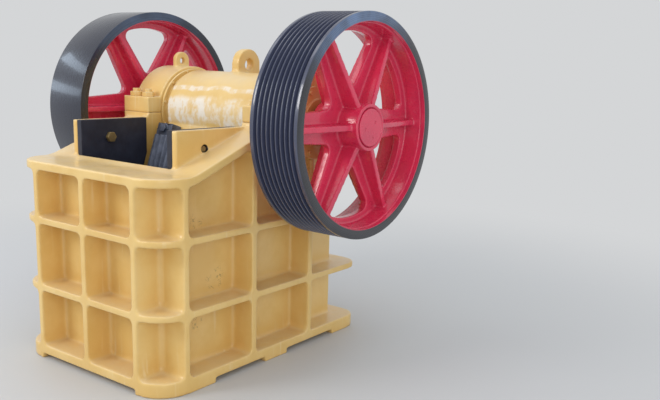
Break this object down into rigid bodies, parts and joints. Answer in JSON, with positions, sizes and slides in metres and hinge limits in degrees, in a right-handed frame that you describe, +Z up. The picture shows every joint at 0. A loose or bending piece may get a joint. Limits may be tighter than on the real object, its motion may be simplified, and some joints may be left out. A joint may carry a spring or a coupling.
{
  "type": "jaw crusher",
  "caption": "Single toggle jaw crusher: ribbed cast frame, toothed jaw plates, eccentric shaft with a grooved belt pulley and a flywheel.",
  "frame": {"origin": "on the ground under the middle of the machine's bounding box", "axes": "+X from the flywheel to the grooved pulley along the shaft, +Y from the feed side to the rear, +Z up"},
  "size_m": [1.712, 1.56, 1.665],
  "materials": {
    "frame_enamel": "semi-gloss",
    "wheel_black": "gloss",
    "wheel_red": "gloss",
    "plate_steel": "satin",
    "bare_steel": "satin"
  },
  "bodies": {
    "frame": {"front_wall": "frame_enamel", "side_wall_left": "frame_enamel", "side_wall_right": "frame_enamel", "rear_wall": "frame_enamel", "base_flange": "frame_enamel", "base_pads": "frame_enamel", "lower_rib": "frame_enamel", "upper_rib": "frame_enamel", "top_rim": "frame_enamel", "cheek_wall_left": "frame_enamel", "cheek_wall_right": "frame_enamel", "cheek_plate_left": "plate_steel", "cheek_plate_right": "plate_steel", "cheek_bolts": "bare_steel", "fixed_jaw_plate": "plate_steel", "bearing_seat_left": "frame_enamel", "bearing_seat_right": "frame_enamel", "bearing_cap_left": "frame_enamel", "bearing_cap_right": "frame_enamel", "cap_bolts": "frame_enamel", "bearing_left": "bare_steel", "bearing_right": "bare_steel", "seal_ring_left": "frame_enamel", "seal_ring_right": "frame_enamel", "toggle_block": "bare_steel", "toggle_plate": "plate_steel", "tension_spring": "bare_steel"},
    "jaw": {"swing_jaw": "frame_enamel", "moving_jaw_plate": "plate_steel", "jaw_clamps": "plate_steel", "tension_rod": "bare_steel", "rod_nuts": "bare_steel"},
    "rotor": {"eccentric_shaft": "bare_steel", "pulley_rim": "wheel_black", "pulley_spider": "wheel_red", "flywheel_rim": "wheel_black", "flywheel_spider": "wheel_red", "pulley_hub_cap": "wheel_red", "flywheel_hub_cap": "wheel_red"}
  },
  "joints": [
    {"name": "shaft_spin", "type": "hinge", "parent": "frame", "child": "rotor", "pos_m": [0, 0.172, 1.14], "axis": [1, 0, 0], "continuous": true},
    {"name": "jaw_swing", "type": "hinge", "parent": "frame", "child": "jaw", "pos_m": [0, 0.172, 1.14], "axis": [-1, 0, 0], "range_deg": [0, 1.2], "deforming": ["tension_spring"]}
  ]
}
